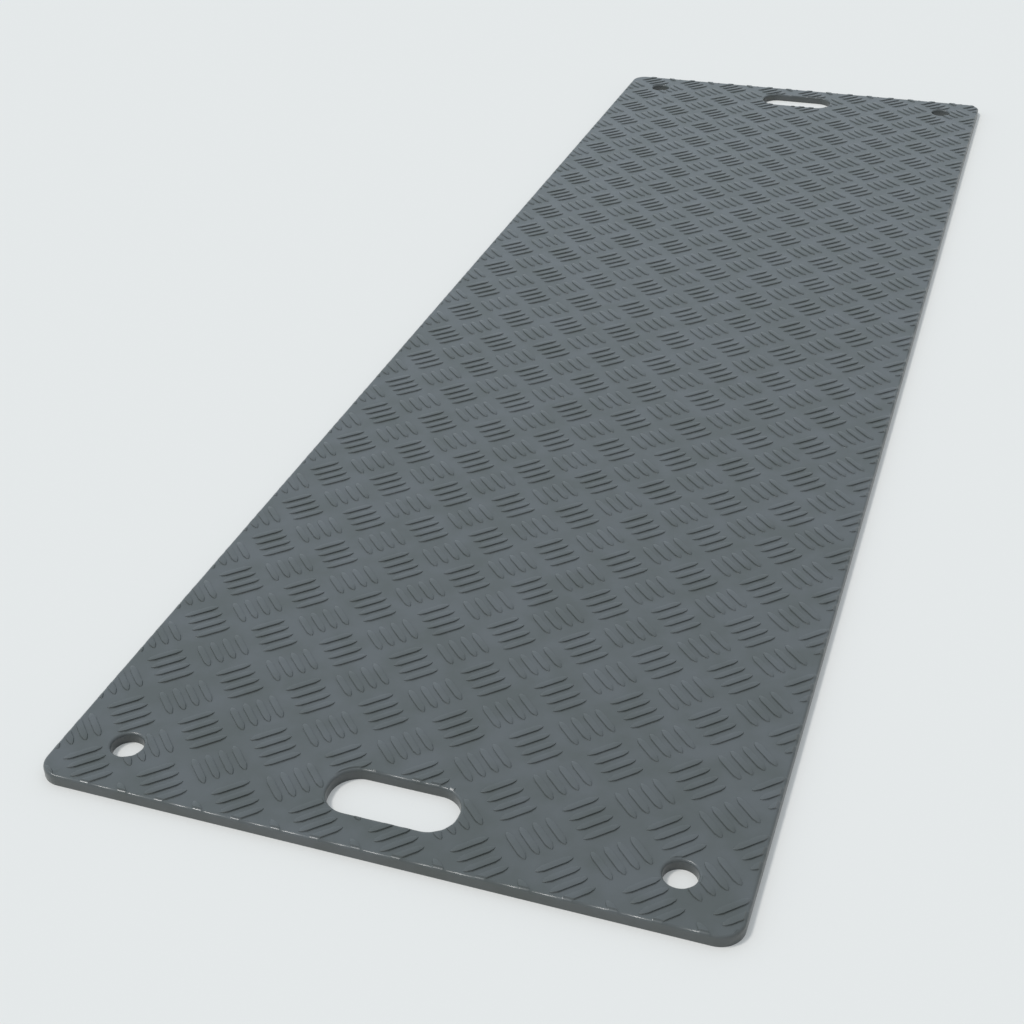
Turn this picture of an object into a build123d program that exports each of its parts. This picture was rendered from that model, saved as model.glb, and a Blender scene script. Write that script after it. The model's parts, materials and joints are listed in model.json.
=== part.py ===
from build123d import *

import os
from math import ceil, hypot

# A ground protection mat: one thick sheet of moulded plastic with rounded corners.
# It has a hand slot near each end, a fixing hole in each corner, a plain underside
# and a chequer tread: raised, pointed ridges in groups that turn about by 90 degrees.
# Frame: X across the mat, Y along it, Z up from the underside, origin at its middle.
# All sizes are in millimetres, and all angles in degrees.

# The sheet, with a small bevel all round its upper and lower edges.
LENGTH = 2440.0
WIDTH = 760.0
SHEET_THICKNESS = 13.0
CORNER_RADIUS = 27.0
EDGE_BEVEL = 1.5

# The round holes for pegs or joining bolts, one in each corner.
HOLE_DIAMETER = 36.0
HOLE_FROM_SIDE = 74.0
HOLE_FROM_END = 68.0

# The hand slots, one near each end, long side across the mat.
SLOT_LENGTH = 144.0
SLOT_WIDTH = 64.0
SLOT_CORNER_RADIUS = 30.0
SLOT_FROM_END = 77.0

# The bevel on both rims of every hole and slot.
RIM_BEVEL = 1.2

# The tread fills a board of square cells that lies across the mat at an angle.
# Each cell holds one group of ridges, a quarter turn from the groups beside it.
TREAD_ANGLE = 45.0
TREAD_HEIGHT = 2.0
CELL = 62.5
FIRST_CELL_X = 25.0
FIRST_CELL_Y = 43.0

# The real mat has four narrow ridges in a group. Here two broad ones stand for them,
# which keeps the whole mat's mesh small.
RIDGES_IN_GROUP = 2
RIDGE_SPACING = 29.5
RIDGE_LENGTH = 45.0
RIDGE_WIDTH = 22.0

# A ridge that the edges, holes or slots cut down to less than this share is left out.
LEAST_SHARE = 0.15

# A group this far from every edge, hole and slot, counted in cells, is never cut.
CLEAR_CELLS = 0.75

# The tread's own frame: X along the ridges of the first cell, origin at its middle.
TREAD_FRAME = Pos(FIRST_CELL_X, FIRST_CELL_Y, SHEET_THICKNESS) * Rot(0, 0, TREAD_ANGLE)


def hole_places():
    """The middle of the hole in each corner."""
    x = WIDTH / 2 - HOLE_FROM_SIDE
    y = LENGTH / 2 - HOLE_FROM_END
    return [Pos(-x, -y), Pos(x, -y), Pos(x, y), Pos(-x, y)]


def slot_places():
    """The middle of the hand slot near each end."""
    y = LENGTH / 2 - SLOT_FROM_END
    return [Pos(0, -y), Pos(0, y)]


def upper_face(body):
    """The flat upper face of a body."""
    return body.faces().sort_by(Axis.Z)[-1]


def lower_face(body):
    """The flat lower face of a body."""
    return body.faces().sort_by(Axis.Z)[0]


def make_sheet():
    """The sheet without its tread: bevelled outline, holes and slots."""
    blank = extrude(RectangleRounded(WIDTH, LENGTH, CORNER_RADIUS), amount=SHEET_THICKNESS)
    blank = chamfer(upper_face(blank).edges() + lower_face(blank).edges(), EDGE_BEVEL)

    hole = extrude(Circle(HOLE_DIAMETER / 2), amount=SHEET_THICKNESS)
    slot_outline = RectangleRounded(SLOT_LENGTH, SLOT_WIDTH, SLOT_CORNER_RADIUS)
    slot = extrude(slot_outline, amount=SHEET_THICKNESS)
    cuts = [place * hole for place in hole_places()]
    cuts += [place * slot for place in slot_places()]
    sheet = blank - cuts

    rims = [wire.edges() for face in (upper_face(sheet), lower_face(sheet)) for wire in face.inner_wires()]
    return chamfer([edge for rim in rims for edge in rim], RIM_BEVEL)


def make_ridge():
    """One ridge along X on the plane Z = 0: a lozenge that rises to a crown."""
    half_length, half_width = RIDGE_LENGTH / 2, RIDGE_WIDTH / 2
    base = [(-half_length, 0, 0), (0, -half_width, 0), (half_length, 0, 0), (0, half_width, 0)]
    crown = (0, 0, TREAD_HEIGHT)
    flanks = [Face(Wire.make_polygon([start, end, crown])) for start, end in zip(base, base[1:] + base[:1])]
    return Solid(Shell(flanks + [Face(Wire.make_polygon(base))]))


def make_group():
    """The ridges of one cell, side by side across Y."""
    ridge = make_ridge()
    middle = (RIDGES_IN_GROUP - 1) / 2
    return [Pos(0, (number - middle) * RIDGE_SPACING) * ridge for number in range(RIDGES_IN_GROUP)]


def cell_places():
    """The place of every cell whose group can reach the mat, turned as its ridges run."""
    rows = ceil(hypot(LENGTH, WIDTH) / 2 / CELL) + 1
    for row in range(-rows, rows + 1):
        for column in range(-rows, rows + 1):
            quarter_turn = 90 * ((row + column) % 2)
            place = TREAD_FRAME * Pos(row * CELL, column * CELL) * Rot(0, 0, quarter_turn)
            if abs(place.position.X) < (WIDTH + CELL) / 2 and abs(place.position.Y) < (LENGTH + CELL) / 2:
                yield place


def lies_clear(place):
    """Whether a group at this place is whole, clear of the mat's edges, holes and slots."""
    reach = CLEAR_CELLS * CELL + EDGE_BEVEL
    middle = place.position
    inside = abs(middle.X) < WIDTH / 2 - reach and abs(middle.Y) < LENGTH / 2 - reach
    openings = [(spot.position, HOLE_DIAMETER / 2) for spot in hole_places()]
    openings += [(spot.position, SLOT_LENGTH / 2) for spot in slot_places()]
    return inside and all(
        hypot(middle.X - spot.X, middle.Y - spot.Y) > size + reach for spot, size in openings
    )


def make_tread(sheet):
    """Every ridge of the tread, cut off where the flat of the sheet ends."""
    group = make_group()
    whole, cut = [], []
    for place in cell_places():
        ridges = whole if lies_clear(place) else cut
        ridges += [place * ridge for ridge in group]
    above_sheet = extrude(upper_face(sheet), amount=TREAD_HEIGHT)
    trimmed = (Compound(cut) & above_sheet).solids()
    least = LEAST_SHARE * group[0].volume
    return whole + [ridge for ridge in trimmed if ridge.volume > least]


def make_mat():
    """The whole mat as one solid."""
    sheet = make_sheet()
    return sheet + make_tread(sheet)


if __name__ == "__main__":
    os.makedirs("parts", exist_ok=True)
    mat = make_mat()
    export_step(mat, "parts/mat.step")
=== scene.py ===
import json
import math

import bpy
import numpy as np
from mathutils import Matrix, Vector
from mathutils.geometry import delaunay_2d_cdt


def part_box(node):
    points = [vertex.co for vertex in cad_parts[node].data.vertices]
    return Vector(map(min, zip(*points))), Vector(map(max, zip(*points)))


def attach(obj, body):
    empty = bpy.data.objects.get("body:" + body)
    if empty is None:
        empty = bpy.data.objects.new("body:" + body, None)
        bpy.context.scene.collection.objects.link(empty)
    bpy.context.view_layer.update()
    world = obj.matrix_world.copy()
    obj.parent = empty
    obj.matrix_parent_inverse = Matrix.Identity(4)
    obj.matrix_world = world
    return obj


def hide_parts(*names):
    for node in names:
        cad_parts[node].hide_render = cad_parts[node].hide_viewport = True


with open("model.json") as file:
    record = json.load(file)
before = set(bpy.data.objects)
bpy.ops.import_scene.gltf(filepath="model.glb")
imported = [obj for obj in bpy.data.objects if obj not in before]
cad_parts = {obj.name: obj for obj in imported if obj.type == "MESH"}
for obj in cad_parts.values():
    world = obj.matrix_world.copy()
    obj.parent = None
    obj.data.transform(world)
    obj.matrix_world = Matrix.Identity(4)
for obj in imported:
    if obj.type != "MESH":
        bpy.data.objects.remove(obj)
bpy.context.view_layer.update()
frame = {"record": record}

# The looks of a ground protection mat: its full chequer tread with four bars in each
# group, its satin moulded plastic, a pale floor, a soft sky and sun, and the camera.
# All lengths are in metres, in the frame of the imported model.

# Edges that turn by more than this many degrees are shaded as sharp.
SHARP_ANGLE = 33

# The sheet. Its width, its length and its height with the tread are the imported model's.
LOW, HIGH = (Vector(corner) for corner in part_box("mat"))
WIDTH = HIGH.x - LOW.x
LENGTH = HIGH.y - LOW.y
TREAD_HEIGHT = 0.0020
SHEET_TOP = HIGH.z - TREAD_HEIGHT
CORNER_RADIUS = 0.027

# The openings. The holes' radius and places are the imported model's, in millimetres there.
MM_PER_METRE = 1000
MOUNTS = {mount["name"]: mount for mount in frame["record"]["mounts"]}
HOLES = MOUNTS["corner_holes"]["dims"]
HOLE_RADIUS = HOLES["hole_r_mm"] / MM_PER_METRE
HOLE_X = HOLES["spacing_x_mm"] / MM_PER_METRE / 2
HOLE_Y = HOLES["spacing_y_mm"] / MM_PER_METRE / 2
SLOT_LENGTH = 0.144
SLOT_WIDTH = 0.064
SLOT_CORNER_RADIUS = 0.030
SLOT_FROM_END = 0.077

# The rounding of every upper edge and every lower one, and the steps that make up each.
EDGE_ROUND = 0.0030
FOOT_ROUND = 0.0002
ROUNDING_STEPS = 4

# The greatest length of an outline's pieces in its corners and on its straight sides, and
# the smallest number of pieces in a corner.
ARC_STEP = 0.003
STRAIGHT_STEP = 0.030
LEAST_ARC_STEPS = 4

# Points closer together than this count as one.
SAME_POINT = 1e-7

# The kind of triangulation that keeps every triangle, also those across the openings.
EVERY_TRIANGLE = 0

# The tread: a board of square cells at an angle, each with a group of narrow bars.
TREAD_ANGLE = math.radians(45)
CELL = 0.0625
FIRST_CELL = (0.025, 0.043)
BARS_IN_GROUP = 4
BAR_SPACING = 0.0150
BAR_LENGTH = 0.0428
BAR_WIDTH = 0.0084

# How full a bar is in its outline and along its crown: 2 gives a lens and an even arch,
# and more gives straighter sides and a crown that falls away nearer to the tips.
BAR_FULLNESS = 6

# How much lower a bar is at its tips than in its middle, as a share of its height.
TIP_DROP = 0.8

# A bar's height, as shares of the tread's, at shares of the way out to its foot.
BAR_REACH = (0.0, 0.74, 0.89, 1.0)
BAR_RISE = (0.86, 0.86, 0.79, 0.0)

# The bars end in a short slope, this long, at the edges of the mat and its openings,
# where only this share of their height is left.
EDGE_MARGIN = 0.0010
EDGE_SHARE = 0.25

# Where the points of a bar's outline lie between its two tips.
BAR_STATIONS = (-1.0, -0.88, -0.6, 0.6, 0.88, 1.0)


class Outline:
    """A rounded rectangle: the mat's own edge, or one opening in it."""

    def __init__(self, x, y, width, length, radius, opening):
        self.x, self.y, self.opening = x, y, opening
        self.half_x, self.half_y, self.radius = width / 2, length / 2, radius

    def points(self, inset):
        """The outline's points in order, moved into the material by the inset."""
        grow = inset if self.opening else -inset
        radius = self.radius + grow
        inner_x, inner_y = self.half_x - self.radius, self.half_y - self.radius
        steps = max(LEAST_ARC_STEPS, math.ceil(radius * math.pi / 2 / ARC_STEP))
        # Each corner's side in X and in Y, and the angle at which its quarter circle starts.
        corners = ((1, -1, -90), (1, 1, 0), (-1, 1, 90), (-1, -1, 180))
        points = []
        for side_x, side_y, start in corners:
            for step in range(steps + 1):
                angle = math.radians(start + 90 * step / steps)
                points.append((
                    self.x + side_x * inner_x + radius * math.cos(angle),
                    self.y + side_y * inner_y + radius * math.sin(angle),
                ))
        return divide_long_sides(points)

    def outward(self, x, y):
        """The level direction that leads out of the material at a point of the outline."""
        away_x = max(abs(x - self.x) - (self.half_x - self.radius), 0.0)
        away_y = max(abs(y - self.y) - (self.half_y - self.radius), 0.0)
        direction = Vector((math.copysign(away_x, x - self.x), math.copysign(away_y, y - self.y)))
        return -direction.normalized() if self.opening else direction.normalized()

    def distance(self, x, y):
        """How far a point lies from the outline."""
        away_x = abs(x - self.x) - (self.half_x - self.radius)
        away_y = abs(y - self.y) - (self.half_y - self.radius)
        outside = math.hypot(max(away_x, 0.0), max(away_y, 0.0)) + min(max(away_x, away_y), 0.0)
        return abs(outside - self.radius)


def divide_long_sides(points):
    """The points of a closed line, with more of them along its long straight stretches."""
    divided = []
    for start, end in zip(points, points[1:] + points[:1]):
        gap = math.dist(start, end)
        if gap < SAME_POINT:
            continue
        pieces = math.ceil(gap / STRAIGHT_STEP)
        for piece in range(pieces):
            share = piece / pieces
            divided.append(tuple(a + (b - a) * share for a, b in zip(start, end)))
    return divided


def make_outlines():
    """The edges of the mat, its corner holes and its hand slots."""
    outlines = [Outline(0, 0, WIDTH, LENGTH, CORNER_RADIUS, False)]
    size = 2 * HOLE_RADIUS
    for side_y in (-1, 1):
        slot_y = side_y * (LENGTH / 2 - SLOT_FROM_END)
        outlines.append(Outline(0, slot_y, SLOT_LENGTH, SLOT_WIDTH, SLOT_CORNER_RADIUS, True))
        for side_x in (-1, 1):
            x, y = side_x * HOLE_X, side_y * HOLE_Y
            outlines.append(Outline(x, y, size, size, HOLE_RADIUS, True))
    return outlines


def to_tread(x, y):
    """Points of the mat in the tread's own frame, along and across its rows of cells."""
    x, y = x - FIRST_CELL[0], y - FIRST_CELL[1]
    cos, sin = math.cos(TREAD_ANGLE), math.sin(TREAD_ANGLE)
    return x * cos + y * sin, y * cos - x * sin


def from_tread(u, v):
    """Points of the tread's frame on the mat."""
    cos, sin = math.cos(TREAD_ANGLE), math.sin(TREAD_ANGLE)
    return FIRST_CELL[0] + u * cos - v * sin, FIRST_CELL[1] + u * sin + v * cos


def tread_rise(x, y):
    """The height of the tread over the sheet, for arrays of places on the mat."""
    u, v = to_tread(x, y)
    row, column = np.round(u / CELL), np.round(v / CELL)
    u, v = u - row * CELL, v - column * CELL
    turned = (row + column) % 2 == 1
    along, across = np.where(turned, v, u), np.where(turned, u, v)
    middle = (BARS_IN_GROUP - 1) / 2
    bar = np.clip(np.round(across / BAR_SPACING + middle), 0, BARS_IN_GROUP - 1)
    across = across - (bar - middle) * BAR_SPACING
    along = np.abs(2 * along / BAR_LENGTH)
    reach = np.abs(2 * across / BAR_WIDTH) + along ** BAR_FULLNESS
    crown = 1 - TIP_DROP * np.minimum(along, 1) ** BAR_FULLNESS
    return TREAD_HEIGHT * crown * np.interp(reach, BAR_REACH, BAR_RISE)


def edge_share(x, y, outlines):
    """The share of the tread's height that is left at a point of the mat."""
    distance = min(outline.distance(x, y) for outline in outlines) - EDGE_ROUND
    return EDGE_SHARE + (1 - EDGE_SHARE) * min(max(distance, 0.0) / EDGE_MARGIN, 1.0)


def bar_contour(reach):
    """The closed line round a bar that lies along X, at a share of the way out to its foot."""
    half_length = BAR_LENGTH / 2 * reach ** (1 / BAR_FULLNESS)
    half_width = BAR_WIDTH / 2 * reach
    side = [(half_length * s, half_width * (1 - abs(s) ** BAR_FULLNESS)) for s in BAR_STATIONS]
    return [(x, -y) for x, y in side] + side[-2:0:-1]


def cells_on_mat():
    """The row and column of every cell that can reach the mat."""
    rows = math.ceil(math.hypot(LENGTH, WIDTH) / 2 / CELL) + 1
    for row in range(-rows, rows + 1):
        for column in range(-rows, rows + 1):
            x, y = from_tread(row * CELL, column * CELL)
            if abs(x) < (WIDTH + CELL) / 2 and abs(y) < (LENGTH + CELL) / 2:
                yield row, column


def tread_contours(reach):
    """The lines round all bars of the tread, at a share of the way out to their feet."""
    shape = bar_contour(reach)
    middle = (BARS_IN_GROUP - 1) / 2
    for row, column in cells_on_mat():
        turned = (row + column) % 2 == 1
        for bar in range(BARS_IN_GROUP):
            shift = (bar - middle) * BAR_SPACING
            contour = [(across + shift, along) if turned else (along, across + shift)
                       for along, across in shape]
            places = [from_tread(u + row * CELL, v + column * CELL) for u, v in contour]
            if any(abs(x) < WIDTH / 2 and abs(y) < LENGTH / 2 for x, y in places):
                yield places


def triangulate(fences, lines=(), feet=()):
    """The points and triangles of the level area inside the fences, with the lines in it.

    The first fence is the mat's edge and the others are its openings. Each point comes
    with the numbers of the given points that it stands for. The last result is the set
    of points on the feet, which are the outer lines of the bars.
    """
    points, edges, counts = [], [], []
    for loops in (fences, lines, feet):
        for loop in loops:
            first = len(points)
            points += loop
            edges += [(first + i, first + (i + 1) % len(loop)) for i in range(len(loop))]
        counts.append(len(edges))
    places = [Vector(point) for point in points]
    found = delaunay_2d_cdt(places, edges, [], EVERY_TRIANGLE, SAME_POINT)
    places, found_edges, triangles, sources, edge_sources = found[:5]

    walls, on_feet = set(), set()
    for edge, given in zip(found_edges, edge_sources):
        if any(number < counts[0] for number in given):
            walls.add(tuple(sorted(edge)))
        if any(number >= counts[1] for number in given):
            on_feet.update(edge)
    return places, flood(places, triangles, walls), sources, on_feet


def flood(places, triangles, walls):
    """The triangles that can be reached from the mat's middle without crossing a wall."""
    beside = {}
    for number, triangle in enumerate(triangles):
        for edge in sides(triangle):
            beside.setdefault(tuple(sorted(edge)), []).append(number)
    start = min(range(len(triangles)), key=lambda n: places[triangles[n][0]].length)
    reached, waiting = {start}, [start]
    while waiting:
        for edge in sides(triangles[waiting.pop()]):
            edge = tuple(sorted(edge))
            if edge in walls:
                continue
            for neighbour in beside[edge]:
                if neighbour not in reached:
                    reached.add(neighbour)
                    waiting.append(neighbour)
    return [tuple(triangles[number]) for number in sorted(reached)]


def sides(corners):
    """The directed sides of a triangle or other face."""
    return list(zip(corners, corners[1:] + corners[:1]))


def border_loops(triangles):
    """The borders of a set of triangles, each a closed list of points, material on the left."""
    directed = {side for triangle in triangles for side in sides(triangle)}
    following = {start: end for start, end in directed if (end, start) not in directed}
    loops = []
    while following:
        start = next(iter(following))
        loop = [start]
        step = following.pop(start)
        while step != start:
            loop.append(step)
            step = following.pop(step)
        loops.append(loop)
    return loops


def edge_profile():
    """The rows of the mat's side, from the upper face down to the lower one.

    Each row has how far it stands out, its height and how much of the tread's rise it keeps.
    """
    quarter = [math.pi / 2 * step / ROUNDING_STEPS for step in range(ROUNDING_STEPS + 1)]
    upper = [
        (EDGE_ROUND * math.sin(a), SHEET_TOP - EDGE_ROUND * (1 - math.cos(a)), math.cos(a))
        for a in quarter[1:]
    ]
    lower = [
        (EDGE_ROUND - FOOT_ROUND * (1 - math.cos(a)), FOOT_ROUND * (1 - math.sin(a)), 0.0)
        for a in quarter
    ]
    return upper + lower


def foot_lines(triangles, rise):
    """The sides where a level triangle of the upper face meets one of a bar."""
    level, raised = set(), set()
    for triangle in triangles:
        found = raised if any(rise[corner] > 0 for corner in triangle) else level
        found.update(tuple(sorted(side)) for side in sides(triangle))
    return level & raised


def mat_mesh():
    """The vertices and faces of the whole mat as one closed mesh, and its bars' foot lines."""
    outlines = make_outlines()
    fences = [outline.points(EDGE_ROUND) for outline in outlines]
    margins = [outline.points(EDGE_ROUND + EDGE_MARGIN) for outline in outlines]
    crowns = [line for reach in BAR_REACH[1:-1] for line in tread_contours(reach)]
    feet = list(tread_contours(BAR_REACH[-1]))
    places, triangles, _, on_feet = triangulate(fences, margins + crowns, feet)

    used = sorted({corner for triangle in triangles for corner in triangle})
    index = {old: new for new, old in enumerate(used)}
    triangles = [tuple(index[corner] for corner in triangle) for triangle in triangles]
    level = np.array([places[old] for old in used])
    rise = tread_rise(level[:, 0], level[:, 1])
    for number, old in enumerate(used):
        rise[number] *= 0 if old in on_feet else edge_share(*level[number], outlines)
    vertices = [(x, y, SHEET_TOP + up) for (x, y), up in zip(level, rise)]
    faces = list(triangles)

    lowest_loops = []
    for loop in border_loops(triangles):
        x, y = level[loop[0]]
        outline = min(outlines, key=lambda o: o.distance(x, y))
        above = loop
        for out, height, keep in edge_profile():
            first = len(vertices)
            for number in loop:
                x, y = level[number]
                away = outline.outward(x, y)
                z = height + rise[number] * keep
                vertices.append((x + away.x * out, y + away.y * out, z))
            below = list(range(first, first + len(loop)))
            for (a, b), (low_a, low_b) in zip(sides(above), sides(below)):
                faces.append((a, low_a, low_b, b))
            above = below
        lowest_loops.append(above)
    faces += underside(vertices, lowest_loops)
    return vertices, faces, foot_lines(triangles, rise)


def underside(vertices, loops):
    """The triangles of the flat lower face inside the given loops of vertices."""
    loops = sorted(loops, key=len, reverse=True)
    order = [number for loop in loops for number in loop]
    fences = [[vertices[number][:2] for number in loop] for loop in loops]
    _, triangles, sources, _ = triangulate(fences)
    numbers = [order[given[0]] for given in sources]
    return [tuple(numbers[corner] for corner in reversed(triangle)) for triangle in triangles]


def add_object(name, data):
    """A new object of the scene."""
    item = bpy.data.objects.new(name, data)
    bpy.context.scene.collection.objects.link(item)
    return item


def make_mat():
    """The mat's own object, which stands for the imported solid."""
    vertices, faces, sharp_sides = mat_mesh()
    mesh = bpy.data.meshes.new("mat_surface")
    mesh.from_pydata(vertices, [], faces)
    mesh.validate()
    mesh.shade_smooth()
    mesh.set_sharp_from_angle(angle=math.radians(SHARP_ANGLE))
    for edge in mesh.edges:
        if tuple(sorted(edge.vertices)) in sharp_sides:
            edge.use_edge_sharp = True
    mesh.materials.append(mat_plastic())
    mat = add_object("mat_surface", mesh)
    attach(mat, "root")
    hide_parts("mat")


# The plastic's colour and the darker one of its patches, the patches' width and octaves of
# noise, and the noise levels between which one colour turns into the other.
PLASTIC = (0.0960, 0.1050, 0.1060, 1)
PLASTIC_PATCH = (0.0790, 0.0880, 0.0835, 1)
PATCH_SIZE = 0.040
PATCH_DETAIL = 5
PATCH_LEVELS = (0.35, 0.65)

# The width, octaves of noise and depth of the plastic's grain, the roughness in and
# between its grains, and the index of refraction.
GRAIN_SIZE = 0.0011
GRAIN_DETAIL = 2
GRAIN_DEPTH = 0.00003
ROUGHNESS = (0.25, 0.35)
REFRACTION = 1.54


def noise(nodes, links, place, size, detail):
    """A noise texture in the mat's own frame, whose patches are about this wide in metres."""
    texture = nodes.new("ShaderNodeTexNoise")
    texture.inputs["Scale"].default_value = 1 / size
    texture.inputs["Detail"].default_value = detail
    links.new(place.outputs["Object"], texture.inputs["Vector"])
    return texture


def scale_range(nodes, start, end, low=0.0, high=1.0):
    """A node that scales values between start and end to values between low and high."""
    node = nodes.new("ShaderNodeMapRange")
    node.inputs["From Min"].default_value = start
    node.inputs["From Max"].default_value = end
    node.inputs["To Min"].default_value = low
    node.inputs["To Max"].default_value = high
    return node


def mat_plastic():
    """Satin slate grey moulded plastic: faint patches of colour and gloss, and a fine grain."""
    material = bpy.data.materials.new("mat_plastic")
    material.use_nodes = True
    nodes, links = material.node_tree.nodes, material.node_tree.links
    shader = nodes["Principled BSDF"]
    shader.inputs["IOR"].default_value = REFRACTION
    place = nodes.new("ShaderNodeTexCoord")

    patches = noise(nodes, links, place, PATCH_SIZE, PATCH_DETAIL)
    share = scale_range(nodes, *PATCH_LEVELS)
    colour = nodes.new("ShaderNodeMixRGB")
    colour.inputs["Color1"].default_value = PLASTIC_PATCH
    colour.inputs["Color2"].default_value = PLASTIC
    links.new(patches.outputs["Fac"], share.inputs["Value"])
    links.new(share.outputs["Result"], colour.inputs["Fac"])
    links.new(colour.outputs["Color"], shader.inputs["Base Color"])

    grain = noise(nodes, links, place, GRAIN_SIZE, GRAIN_DETAIL)
    gloss = scale_range(nodes, 0, 1, *ROUGHNESS)
    links.new(grain.outputs["Fac"], gloss.inputs["Value"])
    links.new(gloss.outputs["Result"], shader.inputs["Roughness"])

    bump = nodes.new("ShaderNodeBump")
    bump.inputs["Distance"].default_value = GRAIN_DEPTH
    links.new(grain.outputs["Fac"], bump.inputs["Height"])
    links.new(bump.outputs["Normal"], shader.inputs["Normal"])
    return material


# The floor: its size, its paint, the pale colour that it shows where no shadow falls, and
# the share of that colour that a shadow doesn't darken.
FLOOR_SIZE = 400.0
FLOOR_PAINT = (0.791, 0.776, 0.741, 1)
FLOOR_ROUGHNESS = 0.9
FLOOR_SHINE = 0.0
FLOOR_SEEN = (0.783, 0.815, 0.823, 1)
FLOOR_KEPT = 0.20


def floor_paint():
    """Matt paint whose shadows look a little fainter than they are."""
    material = bpy.data.materials.new("floor_paint")
    material.use_nodes = True
    nodes, links = material.node_tree.nodes, material.node_tree.links
    paint = nodes["Principled BSDF"]
    paint.inputs["Base Color"].default_value = FLOOR_PAINT
    paint.inputs["Roughness"].default_value = FLOOR_ROUGHNESS
    paint.inputs["Specular IOR Level"].default_value = FLOOR_SHINE

    seen = nodes.new("ShaderNodeEmission")
    seen.inputs["Color"].default_value = FLOOR_SEEN
    rays = nodes.new("ShaderNodeLightPath")
    looks = rays.outputs["Is Camera Ray"]
    for kind in ("Is Glossy Ray", "Is Transmission Ray"):
        either = nodes.new("ShaderNodeMath")
        either.operation = "MAXIMUM"
        links.new(looks, either.inputs[0])
        links.new(rays.outputs[kind], either.inputs[1])
        looks = either.outputs["Value"]
    share = nodes.new("ShaderNodeMath")
    share.operation = "MULTIPLY"
    share.inputs[1].default_value = FLOOR_KEPT
    mix = nodes.new("ShaderNodeMixShader")
    links.new(looks, share.inputs[0])
    links.new(share.outputs["Value"], mix.inputs["Fac"])
    links.new(paint.outputs["BSDF"], mix.inputs[1])
    links.new(seen.outputs["Emission"], mix.inputs[2])
    links.new(mix.outputs["Shader"], nodes["Material Output"].inputs["Surface"])
    return material


def make_floor():
    """A wide plain pale floor."""
    mesh = bpy.data.meshes.new("floor")
    half = FLOOR_SIZE / 2
    corners = [(-half, -half, 0), (half, -half, 0), (half, half, 0), (-half, half, 0)]
    mesh.from_pydata(corners, [], [(0, 1, 2, 3)])
    mesh.materials.append(floor_paint())
    floor = add_object("floor", mesh)


# The light: a pale sky, cooler and brighter behind the mat and on its left than in front
# of it and on its right, and a soft sun that stands high on the left. Near the horizon
# the sky has the floor's pale colour, which gives way to its own between these heights
# on a sphere of radius 1, so that no horizon shows.
BRIGHT_SIDE = (-0.87, 0.50, 0.25)
SKY_BEHIND = (0.72, 0.84, 0.95, 1)
SKY_IN_FRONT = (0.33, 0.33, 0.34, 1)
HAZE_HEIGHTS = (0.10, 0.20)
SUN_DIRECTION = (-0.45, -0.15, 0.88)
SUN_COLOUR = (1.0, 0.98, 0.96)
SUN_STRENGTH = 1.5
SUN_SPREAD = math.radians(12)


def make_light():
    """The sun lamp and the sky."""
    lamp = bpy.data.lights.new("sun", "SUN")
    lamp.color = SUN_COLOUR
    lamp.energy = SUN_STRENGTH
    lamp.angle = SUN_SPREAD
    sun = add_object("sun", lamp)
    sun.rotation_euler = Vector(SUN_DIRECTION).to_track_quat("Z", "Y").to_euler()

    world = bpy.data.worlds.new("sky")
    world.use_nodes = True
    nodes, links = world.node_tree.nodes, world.node_tree.links
    direction = nodes.new("ShaderNodeTexCoord")
    alignment = nodes.new("ShaderNodeVectorMath")
    alignment.operation = "DOT_PRODUCT"
    alignment.inputs[1].default_value = Vector(BRIGHT_SIDE).normalized()
    share = scale_range(nodes, -1, 1)
    colour = nodes.new("ShaderNodeMixRGB")
    colour.inputs["Color1"].default_value = SKY_IN_FRONT
    colour.inputs["Color2"].default_value = SKY_BEHIND
    links.new(direction.outputs["Generated"], alignment.inputs[0])
    links.new(alignment.outputs["Value"], share.inputs["Value"])
    links.new(share.outputs["Result"], colour.inputs["Fac"])

    height = nodes.new("ShaderNodeSeparateXYZ")
    clearness = scale_range(nodes, *HAZE_HEIGHTS)
    haze = nodes.new("ShaderNodeMixRGB")
    haze.inputs["Color1"].default_value = FLOOR_SEEN
    links.new(direction.outputs["Generated"], height.inputs["Vector"])
    links.new(height.outputs["Z"], clearness.inputs["Value"])
    links.new(clearness.outputs["Result"], haze.inputs["Fac"])
    links.new(colour.outputs["Color"], haze.inputs["Color2"])
    links.new(haze.outputs["Color"], nodes["Background"].inputs["Color"])
    bpy.context.scene.world = world


# The camera, at the photograph's viewing angle: its place, its turns in degrees, its focal
# length in widths of the picture, and the width of its sensor in millimetres.
CAMERA_PLACE = (0.523, -2.228, 1.142)
CAMERA_TURN = (56.95, 1.00, 18.94)
CAMERA_FOCUS = 1574 / 1024
SENSOR_WIDTH = 36.0


def make_camera():
    """The camera of the final picture."""
    lens = bpy.data.cameras.new("camera")
    lens.sensor_width = SENSOR_WIDTH
    lens.lens = CAMERA_FOCUS * SENSOR_WIDTH
    lens.clip_end = FLOOR_SIZE
    camera = add_object("camera", lens)
    camera.location = CAMERA_PLACE
    camera.rotation_euler = [math.radians(turn) for turn in CAMERA_TURN]
    bpy.context.scene.camera = camera


make_mat()
make_floor()
make_light()
make_camera()
bpy.context.scene.view_settings.view_transform = "Standard"

bpy.context.view_layer.update()
